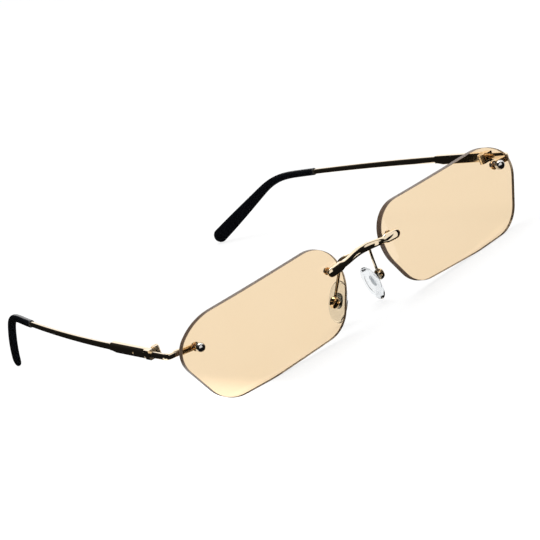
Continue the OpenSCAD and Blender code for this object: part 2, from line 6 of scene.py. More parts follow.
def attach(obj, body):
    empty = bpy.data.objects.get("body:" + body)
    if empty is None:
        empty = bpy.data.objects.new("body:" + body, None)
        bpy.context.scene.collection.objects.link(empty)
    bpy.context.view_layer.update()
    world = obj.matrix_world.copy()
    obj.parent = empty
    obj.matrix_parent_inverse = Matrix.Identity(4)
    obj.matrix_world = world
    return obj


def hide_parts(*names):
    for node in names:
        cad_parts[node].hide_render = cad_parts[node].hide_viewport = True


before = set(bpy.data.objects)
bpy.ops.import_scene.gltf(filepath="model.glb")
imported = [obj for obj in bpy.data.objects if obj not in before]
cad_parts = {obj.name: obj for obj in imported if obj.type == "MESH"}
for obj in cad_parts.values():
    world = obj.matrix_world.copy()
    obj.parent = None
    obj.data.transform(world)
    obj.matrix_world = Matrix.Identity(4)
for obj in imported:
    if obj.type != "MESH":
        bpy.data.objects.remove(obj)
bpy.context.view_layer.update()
print("frame loaded")

# Sizes of the whole pair, in millimetres and degrees, as in the part's source. A side is -1 for left and
# 1 for right
pair = dict(midY=70.7343, lensW=57.4, lensH=28.8, lensT=2.2, curve=420.0, noseGap=17.3, wrap=7.1,
            middleShare=0.573, middleHigh=0.628, bridgeZ=20.1, endZ=19.6, hingeOut=5.05, hingeY=17.7,
            toeIn=4.5, boxOff=2.3, boxFront=1.9, boxRear=23.4)
lift = {-1: 0.7, 1: -0.6}  # height of each hinge's rod above its lens hole
tilt = {-1: 1.7, 1: -0.2}  # upward tilt of each arm
drop = {-1: 38.7905, 1: 27.7473}  # bend of each sleeve over the ear
splay = {-1: 12.0, 1: -6.0}  # how far each nose pad opens towards the face
sideWord = {-1: "left", 1: "right"}
lensX = pair["noseGap"] / 2 + pair["lensW"] * pair["middleShare"] * np.cos(np.radians(pair["wrap"]))
middleZ = pair["lensH"] * pair["middleHigh"]


# Small helpers for shapes

# Depth of a sphere's cap behind its middle: R - sqrt(r^2 - u^2 - v^2)
def capDepth(u, v, radius):
    return pair["curve"] - np.sqrt(radius ** 2 - u * u - v * v)


# Direction on the ground at an angle in degrees from x
def direction(degrees):
    return np.array([np.cos(np.radians(degrees)), np.sin(np.radians(degrees)), 0.0])


# Ease: 3t^2 - 2t^3 between 0 and 1
def ease(t):
    t = np.clip(t, 0, 1)
    return t * t * (3 - 2 * t)


# Straight step from a to b: a + t(b - a)
def mix(a, b, t):
    return a + (b - a) * t


# Matrix that turns by an angle in degrees about x, y or z
def turnAbout(axis, degrees):
    c, s = np.cos(np.radians(degrees)), np.sin(np.radians(degrees))
    return np.array({"x": [[1, 0, 0], [0, c, -s], [0, s, c]],
                     "y": [[c, 0, s], [0, 1, 0], [-s, 0, c]],
                     "z": [[c, -s, 0], [s, c, 0], [0, 0, 1]]}[axis])


# From the straight half frame to its place: mirrored for the left, in metres, its origin under the middle
def standing(points, side):
    return (np.asarray(points) * [side, 1, 1] - [0, pair["midY"], 0]) * 0.001


# From the frame of a lens, with x outwards and y to the back
def onLens(points, side):
    return standing(points @ turnAbout("z", pair["wrap"]).T + [lensX, 0, 0], side)


# Closed oval: half sizes w and h, power p, as (w sign(c)|c|^(2/p), h sign(s)|s|^(2/p)) over one turn
def oval(w, h, count, power):
    a = np.linspace(0, 2 * np.pi, count, endpoint=False)
    c, s = np.cos(a), np.sin(a)
    w, h = np.atleast_1d(w)[:, None], np.atleast_1d(h)[:, None]
    return np.stack([w * np.sign(c) * np.abs(c) ** (2 / power),
                     h * np.sign(s) * np.abs(s) ** (2 / power)], axis=-1)


# Outline carried along a path: path + sideways * u + upwards * v, for each row of (u, v)
def carried(path, sideways, upwards, outline):
    return path[:, None, :] + sideways[:, None, :] * outline[..., :1] + upwards[:, None, :] * outline[..., 1:]


# Round bar along a curve of points: a circle carried along it, its sides square to the curve's direction
def roundBar(path, radius, count, hint=(0.0, 0.0, 1.0)):
    along = np.gradient(path, axis=0)
    along /= np.linalg.norm(along, axis=1, keepdims=True)
    sideways = np.cross(along, hint)
    sideways /= np.linalg.norm(sideways, axis=1, keepdims=True)
    upwards = np.cross(sideways, along)
    thick = radius * np.ones(len(path))
    return carried(path, sideways, upwards, oval(thick, thick, count, 2))


# Turned piece: a profile of (radius, depth) spun about the y axis, as (r cos a, depth, r sin a)
def turnedPiece(profile, count=48):
    radius, depth = np.split(np.array(profile, dtype=float), 2, axis=1)
    a = np.linspace(0, 2 * np.pi, count, endpoint=False)
    return np.stack([radius * np.cos(a), np.repeat(depth, count, axis=1), radius * np.sin(a)], axis=-1)


# Outline with round corners: each corner an arc of its radius between the tangent points
def rounded(corners, steps):
    xy, r = np.array(corners)[:, :2], np.array(corners)[:, 2]
    before, after = np.roll(xy, 1, axis=0) - xy, np.roll(xy, -1, axis=0) - xy
    before /= np.linalg.norm(before, axis=1, keepdims=True)
    after /= np.linalg.norm(after, axis=1, keepdims=True)
    half = np.arccos(np.sum(before * after, axis=1)) / 2
    between = (before + after) / np.linalg.norm(before + after, axis=1, keepdims=True)
    centre = xy + between * (r / np.sin(half))[:, None]
    reach = (r / np.tan(half))[:, None]
    p1, p2 = xy + before * reach - centre, xy + after * reach - centre
    a1 = np.arctan2(p1[:, 1], p1[:, 0])
    swing = (np.arctan2(p2[:, 1], p2[:, 0]) - a1 + np.pi) % (2 * np.pi) - np.pi
    a = a1[:, None] + swing[:, None] * np.linspace(0, 1, steps)
    return (centre[:, None, :] + r[:, None, None] * np.stack([np.cos(a), np.sin(a)], axis=-1)).reshape(-1, 2)


# Closed line put on evenly spaced points, by its length
def evened(line, count):
    closed = np.vstack([line, line[:1]])
    run = np.concatenate([[0], np.cumsum(np.linalg.norm(np.diff(closed, axis=0), axis=1))])
    at = np.linspace(0, run[-1], count, endpoint=False)
    return np.stack([np.interp(at, run, closed[:, k]) for k in range(closed.shape[1])], axis=-1)


# Closed shell over rows of points: squares between the rows and a fan at each end, turned to face outwards
def shell(rows):
    m, n = rows.shape[:2]
    points = np.vstack([rows.reshape(-1, 3), rows[0].mean(axis=0)[None], rows[-1].mean(axis=0)[None]])
    i, j = np.meshgrid(np.arange(n), np.arange(m - 1))
    k = (i + 1) % n
    squares = np.stack([j * n + i, j * n + k, (j + 1) * n + k, (j + 1) * n + i], axis=-1).reshape(-1, 4)
    i, k = np.arange(n), (np.arange(n) + 1) % n
    fans = np.vstack([np.stack([np.full(n, m * n), k, i], axis=-1),
                      np.stack([np.full(n, m * n + 1), (m - 1) * n + i, (m - 1) * n + k], axis=-1)])
    triangles = np.vstack([fans, squares[:, :3], squares[:, [0, 2, 3]]])
    a, b, c = (points[triangles[:, q]] - points.mean(axis=0) for q in range(3))
    if np.sum(a * np.cross(b, c)) < 0:
        squares, fans = squares[:, ::-1], fans[:, ::-1]
    return points, squares.tolist() + fans.tolist()


# Smooth shading over the whole mesh but for the edges above an angle
def shaded(mesh, sharpAngle=40):
    mesh.polygons.foreach_set("use_smooth", np.ones(len(mesh.polygons), dtype=bool))
    mesh.set_sharp_from_angle(angle=np.radians(sharpAngle))
    mesh.update()
    return mesh


# Mesh of one or several shells
def meshOf(name, shells):
    points, faces, count = [], [], 0
    for rows in shells:
        p, f = shell(rows)
        points.append(p)
        faces += [[v + count for v in face] for face in f]
        count += len(p)
    mesh = bpy.data.meshes.new(name)
    mesh.from_pydata(np.vstack(points).tolist(), [], faces)
    return shaded(mesh)


# Joins more closed shells to a first one, then cuts others out of it: (first + joined) - cut
def machined(name, first, joined, cut):
    base = bpy.data.objects.new(name, meshOf(name, [first]))
    tools = [(rows, "UNION") for rows in joined] + [(rows, "DIFFERENCE") for rows in cut]
    tools = [(bpy.data.objects.new("tool", meshOf("tool", [rows])), way) for rows, way in tools]
    bpy.context.scene.collection.objects.link(base)
    for tool, way in tools:
        bpy.context.scene.collection.objects.link(tool)
        step = base.modifiers.new(way, "BOOLEAN")
        step.object, step.operation, step.solver = tool, way, "EXACT"
    mesh = bpy.data.meshes.new_from_object(base.evaluated_get(bpy.context.evaluated_depsgraph_get()))
    for obj in [base] + [tool for tool, way in tools]:
        bpy.data.objects.remove(obj)
    mesh.materials.clear()
    return mesh


# Prism: one outline of (x, y), kept at two heights
def prism(outline, low, high):
    return np.stack([np.column_stack([outline, np.full(len(outline), z)]) for z in (low, high)])


# Puts a finished mesh in place in its frame: every point goes through the frame's function. The left side is
# mirrored, so its faces are turned round
def placed(mesh, place, side, sharpAngle=40):
    points = np.zeros(len(mesh.vertices) * 3)
    mesh.vertices.foreach_get("co", points)
    mesh.vertices.foreach_set("co", place(points.reshape(-1, 3), side).ravel())
    if side < 0:
        mesh.flip_normals()
    return shaded(mesh, sharpAngle)


# Puts a finished mesh in the scene in place of its CAD node, on that node's body
def addPiece(name, mesh, materials, nodes, body, weighted=True, softEdge=0.0):
    obj = bpy.data.objects.new(name.replace(" ", "_"), mesh)
    bpy.context.scene.collection.objects.link(obj)
    for material in materials:
        mesh.materials.append(material)
    if softEdge:
        bevel = obj.modifiers.new("soft edges", "BEVEL")
        bevel.width, bevel.segments = softEdge * 0.001, 2
        bevel.limit_method, bevel.angle_limit = "ANGLE", np.radians(35)
    if weighted:
        obj.modifiers.new("even shading", "WEIGHTED_NORMAL").keep_sharp = True
    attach(obj, body)
    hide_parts(*nodes)


# Small helpers for materials

# sRGB hex colour to linear
def linear(hexText):
    c = np.array([int(hexText[i:i + 2], 16) for i in (0, 2, 4)]) / 255
    return (*np.where(c <= 0.04045, c / 12.92, ((c + 0.055) / 1.055) ** 2.4).tolist(), 1.0)


# Adds a node: its settings, then its inputs, each a value or another node's output
def addNode(tree, kind, inputs=None, **settings):
    node = tree.nodes.new(kind)
    for key, value in settings.items():
        setattr(node, key, value)
    for key, value in (inputs or {}).items():
        if isinstance(value, bpy.types.NodeSocket):
            tree.links.new(value, node.inputs[key])
        else:
            node.inputs[key].default_value = value
    return node


# Empty node tree of a new material or world
def emptyTree(owner):
    owner.use_nodes = True
    owner.node_tree.nodes.clear()
    return owner.node_tree


# Colour that drifts between two hex colours with a noise of so many millimetres. A Mix node's inputs 0, 6
# and 7 are its share and its two colours
def driftingColour(tree, place, first, second, sizeMm):
    noise = addNode(tree, "ShaderNodeTexNoise", {"Vector": place, "Scale": 1000 / sizeMm, "Detail": 3.0})
    colours = {0: noise.outputs["Fac"], 6: linear(first), 7: linear(second)}
    return addNode(tree, "ShaderNodeMix", colours, data_type="RGBA").outputs[2]


# Number that drifts between two values with a noise of so many millimetres
def driftingValue(tree, place, low, high, sizeMm, detail=4.0):
    noise = addNode(tree, "ShaderNodeTexNoise", {"Vector": place, "Scale": 1000 / sizeMm, "Detail": detail})
    spread = addNode(tree, "ShaderNodeMapRange", {"Value": noise.outputs["Fac"], "From Min": 0.3,
                                                  "From Max": 0.7, "To Min": low, "To Max": high})
    return spread.outputs["Result"]


# New material with its shader, whose inputs the given function works out
def newMaterial(name, inputs):
    material = bpy.data.materials.new(name)
    tree = emptyTree(material)
    place = addNode(tree, "ShaderNodeTexCoord").outputs["Object"]
    shader = addNode(tree, "ShaderNodeBsdfPrincipled", inputs(tree, place))
    addNode(tree, "ShaderNodeOutputMaterial", {"Surface": shader.outputs["BSDF"]})
    return material


# Height map to a normal: bump over a noise of so many millimetres
def fineBump(tree, place, sizeMm, depthMm, strength=0.5):
    noise = addNode(tree, "ShaderNodeTexNoise", {"Vector": place, "Scale": 1000 / sizeMm, "Detail": 4.0})
    return addNode(tree, "ShaderNodeBump", {"Height": noise.outputs["Fac"], "Distance": depthMm * 0.001,
                                            "Strength": strength}).outputs["Normal"]


# Cast resin lens, polished and hard-coated: clear, with a peach-tan dye that is a little uneven across 30 mm
tintedResin = newMaterial("tinted cast resin", lambda tree, place: {
    "Base Color": driftingColour(tree, place, "F8DEB8", "FAE3C1", 30),
    "Roughness": driftingValue(tree, place, 0.0, 0.02, 6), "IOR": 1.5, "Transmission Weight": 1.0})
# Ground edge of the same resin: the stone leaves a matt band that looks brown-grey from outside
groundEdge = newMaterial("ground resin edge", lambda tree, place: {
    "Base Color": driftingColour(tree, place, "786355", "8A7462", 2),
    "Roughness": driftingValue(tree, place, 0.3, 0.42, 1.2), "IOR": 1.5,
    "Specular IOR Level": 0.08, "Transmission Weight": 0.35})
# Polished nickel silver plated with pale gold: mirror-like, with faint marks of the buff 2 to 3 mm across
paleGold = newMaterial("pale gold plate", lambda tree, place: {
    "Base Color": driftingColour(tree, place, "F3E1C6", "EDD8B6", 4), "Metallic": 1.0,
    "Roughness": driftingValue(tree, place, 0.04, 0.08, 2.5, 2.0)})
# Bright nickel plate on turned brass: a cooler mirror, on the domed nuts and the springs' bushes
brightNickel = newMaterial("bright nickel plate", lambda tree, place: {
    "Base Color": driftingColour(tree, place, "D9D6D2", "CBC8C4", 3), "Metallic": 1.0,
    "Roughness": driftingValue(tree, place, 0.03, 0.06, 1.5, 2.0)})
# Spring steel wire, drawn and oiled: a darker and duller grey
springSteel = newMaterial("drawn spring steel", lambda tree, place: {
    "Base Color": driftingColour(tree, place, "9A9A9C", "7F8083", 1), "Metallic": 1.0,
    "Roughness": driftingValue(tree, place, 0.2, 0.35, 0.5)})
# Injection-moulded black propionate: a satin gloss, with a faint grain from handling
blackSleeve = newMaterial("black moulded propionate", lambda tree, place: {
    "Base Color": driftingColour(tree, place, "0B0C10", "12141A", 8),
    "Roughness": driftingValue(tree, place, 0.17, 0.25, 3), "IOR": 1.47,
    "Normal": fineBump(tree, place, 0.8, 0.01)})
# Clear moulded polycarbonate: glassy, and greyish through its whole depth
clearInsert = newMaterial("clear moulded polycarbonate", lambda tree, place: {
    "Base Color": driftingColour(tree, place, "757B81", "90969B", 4),
    "Roughness": driftingValue(tree, place, 0.03, 0.08, 1.5), "IOR": 1.58, "Transmission Weight": 1.0})
# Clear moulded silicone: clear as water, with a soft, faintly uneven skin
clearSilicone = newMaterial("clear moulded silicone", lambda tree, place: {
    "Base Color": driftingColour(tree, place, "F4F6F7", "E4E8EB", 5),
    "Roughness": driftingValue(tree, place, 0.02, 0.08, 2), "IOR": 1.41, "Transmission Weight": 1.0,
    "Normal": fineBump(tree, place, 2.5, 0.05, 0.3)})
print("materials made")


# Lenses

# corners are shares of the width and the height, each with its radius; the holes are so far in from an end
lens = dict(corners=[[0.033, 1.014, 9.6], [0.867, 0.955, 18], [1.038, 0.674, 7.8], [0.869, 0, 10.8],
                     [0.571, 0, 47], [0.106, 0.068, 10], [-0.014, 0.5625, 14]],
            bevel=0.12, around=360, rings=16, holeR=0.65, drillFrom=-3, drillTo=8, edgeFacing=0.95,
            bridgeIn=4, clawIn=0.5, endIn=5.7)
noseEnd, hingeEnd = -pair["lensW"] * pair["middleShare"], pair["lensW"] * (1 - pair["middleShare"])
bridgeU, clawU, endU = noseEnd + lens["bridgeIn"], noseEnd + lens["clawIn"], hingeEnd - lens["endIn"]


# Lens blank: the outline shrunk in rings towards its middle, laid on the front and the back sphere,
# with a small bevel where the edge meets each
def lensBlank():
    line = rounded([[(c[0] - pair["middleShare"]) * pair["lensW"], c[1] * pair["lensH"] - middleZ, c[2]]
                    for c in lens["corners"]], 24)
    line = evened(line, lens["around"])
    far = np.linalg.norm(line, axis=1, keepdims=True)
    inner = line * (1 - lens["bevel"] / far)
    share = (np.arange(1, lens["rings"] + 1) / lens["rings"])[:, None, None] ** 0.8
    u, v = np.moveaxis(share * inner[None], -1, 0)
    frontR, backR = pair["curve"], pair["curve"] - pair["lensT"]
    front = np.stack([u, capDepth(u, v, frontR), v], axis=-1)
    back = np.stack([u, capDepth(u, v, backR), v], axis=-1)
    edgeFront = capDepth(line[:, 0], line[:, 1], frontR) + lens["bevel"]
    edgeBack = capDepth(line[:, 0], line[:, 1], backR) - lens["bevel"]
    depth = mix(edgeFront, edgeBack, np.linspace(0, 1, 5)[:, None])
    edge = np.stack([np.broadcast_to(line[:, 0], depth.shape), depth,
                     np.broadcast_to(line[:, 1], depth.shape)], axis=-1)
    return np.concatenate([front, edge, back[::-1]]) + [0, 0, middleZ]


holes = [(bridgeU, pair["bridgeZ"]), (clawU, pair["bridgeZ"]), (endU, pair["endZ"])]
drill = turnedPiece([[lens["holeR"], lens["drillFrom"]], [lens["holeR"], lens["drillTo"]]], 40)
for side in (-1, 1):
    word = sideWord[side]
    mesh = machined("lens", lensBlank(), [], [drill + [u, 0, z] for u, z in holes])
    # every face that doesn't look straight ahead or back belongs to the ground edge
    facing = np.zeros(len(mesh.polygons) * 3)
    mesh.polygons.foreach_get("normal", facing)
    aside = np.abs(facing.reshape(-1, 3)[:, 1]) < lens["edgeFacing"]
    mesh.polygons.foreach_set("material_index", aside.astype(np.int32))
    addPiece("lens " + word, placed(mesh, onLens, side, 25), [tintedResin, groundEdge], ["lens_" + word],
             "frame", weighted=False)
print("lenses made")


# Bridge and its nuts

bridge = dict(barH=2.5, waist=2.2, endH=3.0, endRun=1.6, barT=1.8, rise=0.9, under=0.1, setBack=1.3,
              backIn=0.9, nose=1.8, stand=0.25, play=0.1, studR=0.5, studIn=1.2, studOut=1.25, pinOut=0.6,
              nutR=1.15, nutH=1.2, nutWall=0.55, seat=0.05)


# Place across and in depth of a point of the right lens, in the straight frame:
# (u cos w - n sin w, u sin w + n cos w)
def lensPoint(u, n):
    w = np.radians(pair["wrap"])
    return lensX + u * np.cos(w) - n * np.sin(w), u * np.sin(w) + n * np.cos(w)


bridgeFront = capDepth(bridgeU, pair["bridgeZ"] - middleZ, pair["curve"])
clawFront = capDepth(clawU, pair["bridgeZ"] - middleZ, pair["curve"])
bridgeRear = bridgeFront + pair["lensT"] + bridge["play"]
barX = lensPoint(bridgeU, bridgeFront)[0] + bridge["nose"]
barY = lensPoint(clawU, clawFront)[1] - bridge["stand"] - bridge["barT"] / 2
backX = pair["noseGap"] / 2 - bridge["backIn"]


# Middle line of the bar: set back by an ease towards the middle, and raised by an ease over its length
def barLine(x):
    return np.stack([x, barY + bridge["setBack"] * ease(1 - np.abs(x) / backX),
                     pair["bridgeZ"] - bridge["under"] + bridge["rise"] * ease(1 - np.abs(x) / barX)],
                    axis=-1)


# Bar: an oval carried from end to end, higher at the middle and at the ends than between them; each end
# closes as sqrt(1 - s^2), with s from 0 to 1 over the nose
def bridgeBar():
    nose = bridge["nose"]
    a = np.linspace(0, np.pi / 2, 14)
    x = np.concatenate([nose * (1 - np.cos(a)) - barX, np.linspace(nose - barX, barX - nose, 110)[1:-1],
                        barX - nose * (1 - np.sin(a))])
    over = np.maximum(0, (np.abs(x) - barX + nose) / nose)
    close = np.sqrt(np.maximum(0.002, 1 - over * over))
    middle = mix(bridge["waist"], bridge["barH"], ease(1 - np.abs(x) / backX))
    high = mix(middle, bridge["endH"], ease((np.abs(x) - backX) / bridge["endRun"])) / 2
    outline = oval(bridge["barT"] / 2 * close, high * close, 48, 2.1)
    return carried(barLine(x), np.tile([0.0, -1, 0], (len(x), 1)), np.tile([0.0, 0, 1], (len(x), 1)), outline)


# Pin along y with a bevel of a fifth of its radius at both ends
def pin(radius, start, end):
    bevel = radius * 0.2
    return turnedPiece([[radius * 0.8, start], [radius, start + bevel],
                        [radius, end - bevel], [radius * 0.8, end]])


# Domed profile: a small lip and a straight wall, then the ellipse (r cos a, wall + (height - wall) sin a)
def dome(radius, wall, height):
    lip = 0.08
    a = np.linspace(0, np.pi / 2, 14)[:-1]
    top = np.stack([radius * np.cos(a), wall + (height - wall) * np.sin(a)], axis=-1)
    return [[radius - lip, 0], [radius, lip]] + top.tolist() + [[0.02, height]]


parts = [standing(bridgeBar(), 1)]
nuts = []
for side in (-1, 1):
    for u, out in ((bridgeU, bridge["studOut"]), (clawU, bridge["pinOut"])):
        stud = pin(bridge["studR"], bridgeFront - bridge["studIn"], bridgeRear + out)
        parts.append(onLens(stud + [u, 0, pair["bridgeZ"]], side))
    nut = turnedPiece(dome(bridge["nutR"], bridge["nutWall"], bridge["nutH"]))
    nuts.append(onLens(nut + [bridgeU, bridgeRear + bridge["seat"], pair["bridgeZ"]], side))
addPiece("bridge", meshOf("bridge", parts), [paleGold], ["bridge"], "frame")
addPiece("bridge nuts", meshOf("bridge nuts", nuts), [paleGold], ["bridge_nuts"], "frame")
print("bridge made")


# Endpieces and domed nuts

leaf = dict(front=-1.3, rear=1.6, w=2.0, h=3.0, corner=0.2, knuckleR=1.25, knuckleH=1.0, gap=0.05, ear=0.7,
            earIn=0.2, boreR=0.6, wall=0.4, frontWall=0.45, softEdge=0.07)
endpiece = dict(barW=1.4, barH=2.0, bendR=2.0, play=0.1, seat=0.05, clear=0.15, discR=1.4, discT=0.7,
                discEdge=0.15, discLip=0.04, studR=0.5, studIn=1.3, domeR=1.55, domeH=2.5, domeIn=0.1)
endFront = capDepth(endU, pair["endZ"] - middleZ, pair["curve"])
discFrom = endFront + pair["lensT"] + endpiece["play"] + endpiece["seat"]
tipEdge = capDepth(endU + lens["endIn"], pair["endZ"] - middleZ, pair["curve"])
rodN = max(discFrom + endpiece["discT"], tipEdge + pair["lensT"] + endpiece["barW"] / 2 + endpiece["clear"])

# Where the bar's line behind the lens meets the line of the hinge box, and the bend between the two
outwards, backwards, across = direction(pair["wrap"]), direction(90 + pair["toeIn"]), direction(pair["toeIn"])
hingeX = lensX + endU * np.cos(np.radians(pair["wrap"])) + pair["hingeOut"]
boxLine = np.array([hingeX, pair["hingeY"], 0]) + pair["boxOff"] * across
barStart = np.array([*lensPoint(endU, rodN), 0.0])
bendTurn = 90 + pair["toeIn"] - pair["wrap"]
inset = endpiece["bendR"] * np.tan(np.radians(bendTurn / 2))
meeting = barStart + outwards * (((boxLine - barStart) @ across) / (outwards @ across))
bendFrom, bendTo = meeting - outwards * inset, meeting + backwards * inset
turnY = bendTo[1]


# From the frame of a hinge pin: turned in, then tilted about the end of the bar's bend
def onHinge(points, side):
    p = points @ turnAbout("z", pair["toeIn"]).T + [hingeX, pair["hingeY"] - turnY, 0]
    return standing(p @ turnAbout("x", tilt[side]).T + [0, turnY, pair["endZ"] + lift[side]], side)


# Middle line of the bar: straight behind the lens, one round bend, straight to the hinge block. The straight
# runs keep a little off the bend's ends, so that no two points meet
def barPath(side):
    first = barStart + [0, 0, pair["endZ"]]
    hingeLevel = np.array([0, 0, pair["endZ"] + lift[side]])
    run = bendFrom + hingeLevel - first
    straight = first + run * np.linspace(0, 0.985, 12)[:, None]
    a = np.radians(pair["wrap"] - 90 + bendTurn * np.linspace(0, 1, 26))
    middle = bendFrom + endpiece["bendR"] * direction(pair["wrap"] + 90)
    bend = middle + hingeLevel + endpiece["bendR"] * np.stack([np.cos(a), np.sin(a), 0 * a], axis=-1)
    last = mix(bendTo, boxLine + backwards * (leaf["front"] - 0.05), np.linspace(0.08, 1, 10)[:, None])
    last = (last - [0, turnY, 0]) @ turnAbout("x", tilt[side]).T + [0, turnY, pair["endZ"] + lift[side]]
    return np.vstack([straight, bend, last])


for side in (-1, 1):
    # the bar is a squared oval on its line, and starts with a round nose: half height times (cos a, sin a)
    line = barPath(side)
    along = line[0] - line[1]
    along /= np.linalg.norm(along)
    a = np.linspace(0.06, np.pi / 2, 10)[:-1]
    path = np.vstack([line[0] + along * (endpiece["barH"] / 2 * np.cos(a))[:, None], line])
    close = np.concatenate([np.sin(a), np.ones(len(line))])
    way = np.gradient(path, axis=0)
    way /= np.linalg.norm(way, axis=1, keepdims=True)
    sideways = np.stack([way[:, 1], -way[:, 0], 0 * way[:, 0]], axis=-1)
    sideways /= np.linalg.norm(sideways, axis=1, keepdims=True)
    outline = oval(endpiece["barW"] / 2 * close, endpiece["barH"] / 2 * close, 48, 3)
    bar = standing(carried(path, sideways, np.cross(sideways, way), outline), side)
    r, t, edge, lip = endpiece["discR"], endpiece["discT"], endpiece["discEdge"], endpiece["discLip"]
    disc = turnedPiece([[r - edge, 0], [r - lip, lip], [r, edge],
                        [r, t - edge], [r - lip, t - lip], [r - edge, t], [0.4, t]])
    disc = onLens(disc + [endU, discFrom, pair["endZ"]], side)
    stud = onLens(pin(endpiece["studR"], endFront - endpiece["studIn"], rodN) + [endU, 0, pair["endZ"]], side)
    word = sideWord[side]
    addPiece("endpiece " + word, meshOf("endpiece", [bar, disc, stud]), [paleGold], ["endpiece_" + word],
             "frame")
    # a ball cut flat where it seats on the lens
    r, high = endpiece["domeR"], endpiece["domeH"]
    a = np.linspace(-np.arcsin((high - r) / r), np.pi / 2, 30)[:-1]
    ball = np.stack([r * np.cos(a), high - r + r * np.sin(a)], axis=-1)
    cap = turnedPiece(ball.tolist() + [[0.02, high]], 64) * [1, -1, 1]
    cap = onLens(cap + [endU, endFront - endpiece["domeIn"], pair["endZ"]], side)
    addPiece("domed nut " + word, meshOf("domed nut", [cap]), [brightNickel], ["dome_nut_" + word],
             "frame")


# Hinge block: a rounded bar with two ears round the pin, a slot for the middle knuckle and the screw's bore
def hingeBlock():
    w, h, r = leaf["w"] / 2, leaf["h"] / 2, leaf["corner"]
    face = rounded([[-w, -h, r], [w, -h, r], [w, h, r], [-w, h, r]], 6)
    block = np.stack([np.column_stack([face[:, 0] + pair["boxOff"], np.full(len(face), y), face[:, 1]])
                      for y in (leaf["front"], leaf["rear"])])
    a = np.linspace(np.pi / 2, 3 * np.pi / 2, 40)
    root = pair["boxOff"] - w + leaf["earIn"]
    ear = np.vstack([leaf["knuckleR"] * np.column_stack([np.cos(a), np.sin(a)]),
                     [[root, -leaf["knuckleR"]], [root, leaf["knuckleR"]]]])
    half = leaf["knuckleH"] / 2 + leaf["gap"]
    ears = [prism(ear, half, half + leaf["ear"]), prism(ear, -half - leaf["ear"], -half)]
    near, far = leaf["front"] + leaf["frontWall"], pair["boxOff"] + w - leaf["wall"]
    slot = np.array([[1, near], [far, near], [far, 8], [1, 8]])
    bore = prism(leaf["boreR"] * np.column_stack([np.cos(a * 2), np.sin(a * 2)])[:-1], -5, 5)
    return machined("hinge block", block, ears, [prism(slot, -half, half), bore])


for side in (-1, 1):
    word = sideWord[side]
    addPiece("hinge block " + word, placed(hingeBlock(), onHinge, side), [paleGold], ["hinge_leaf_" + word],
             "frame", softEdge=leaf["softEdge"])
print("endpieces made")


# Hinge boxes, arms and sleeves

box = dict(w=2.0, h=3.0, ramp=3.6, shoulder=1.0, corner=0.22, outer=1.0, soft=0.12, lip=0.04)
arm = dict(length=57.0, w=1.4, h=2.1, endH=1.6, turn0=0.6, bow=6.0, tuck=24.0)
sleeve = dict(length=55.0, gap=0.1, mouth=2.3, lip=0.35, lipShare=0.2, high=4.6, thick=2.3, bendStart=8.0,
              bendLen=20.0, endR=2.3)


# Half height of the box above and below its middle, by the distance along it: level, then sloping down
def boxHeights(y):
    rear, full, low = pair["boxRear"], box["h"] / 2, arm["h"] / 2
    top = np.interp(y, [0, rear - box["shoulder"], rear], [full, full, low])
    under = np.interp(y, [0, rear - box["ramp"], rear - box["shoulder"], rear], [full, full, low, low])
    return top, under


# Box: one outline with round outer corners carried along y, its upper and lower halves of different heights,
# and its ends softened
def hingeBox():
    a, b, soft, lip = pair["boxFront"], pair["boxRear"], box["soft"], box["lip"]
    y = np.concatenate([[a, a + lip, a + soft], np.linspace(a + 0.4, b - 4, 24),
                        np.linspace(b - 3.7, b - soft, 40), [b - lip, b]])
    inset = np.interp(y, [a, a + lip, a + soft, b - soft, b - lip, b], [soft, lip, 0, 0, lip, soft])
    w, h, inner, outer = box["w"] / 2, box["h"] / 2, box["corner"], box["outer"]
    outline = rounded([[-w, -h, inner], [w, -h, outer * 0.7], [w, h, outer], [-w, h, inner]], 14)
    top, under = boxHeights(y)
    # the round corners keep their size: only the straight middle of each half is shortened
    z = outline[:, 1]
    change = np.where(z > 0, (top - h)[:, None] * np.clip(z / 0.5, 0, 1),
                      (h - under)[:, None] * np.clip(-z / 0.5, 0, 1))
    points = outline[None] * (1 - inset[:, None, None] / np.array([w, h]))
    along = np.broadcast_to(y[:, None], change.shape)
    return np.stack([pair["boxOff"] + points[..., 0], along, points[..., 1] + change], axis=-1)


# Turn of the arm's line towards the middle at a distance s behind the box: straight between three angles
def heading(s):
    return np.where(s < arm["length"], mix(arm["turn0"], arm["bow"], s / arm["length"]),
                    mix(arm["bow"], arm["tuck"] - pair["toeIn"], (s - arm["length"]) / sleeve["length"]))


# Slope of that line: level, then down by an ease over the sleeve's bend
def slopeAt(s, side):
    return -drop[side] * ease((s - arm["length"] - sleeve["bendStart"]) / sleeve["bendLen"])


# Line of the arm and sleeve: the sum of short steps along (-sin h cos c, cos h cos c, sin c)
def armLine(s, side):
    fine = np.linspace(0, arm["length"] + sleeve["length"] + 1, 2400)
    mid = (fine[1:] + fine[:-1]) / 2
    h, c = np.radians(heading(mid)), np.radians(slopeAt(mid, side))
    step = np.stack([-np.sin(h) * np.cos(c), np.cos(h) * np.cos(c), np.sin(c)], axis=-1)
    step *= np.diff(fine)[:, None]
    run = np.vstack([[0, 0, 0], np.cumsum(step, axis=0)]) + [pair["boxOff"], pair["boxRear"], 0]
    path = np.stack([np.interp(s, fine, run[:, k]) for k in range(3)], axis=-1)
    h, c = np.radians(heading(s)), np.radians(slopeAt(s, side))
    sideways = np.stack([np.cos(h), np.sin(h), 0 * h], axis=-1)
    upwards = np.stack([np.sin(h) * np.sin(c), -np.cos(h) * np.sin(c), np.cos(c)], axis=-1)
    return path, sideways, upwards


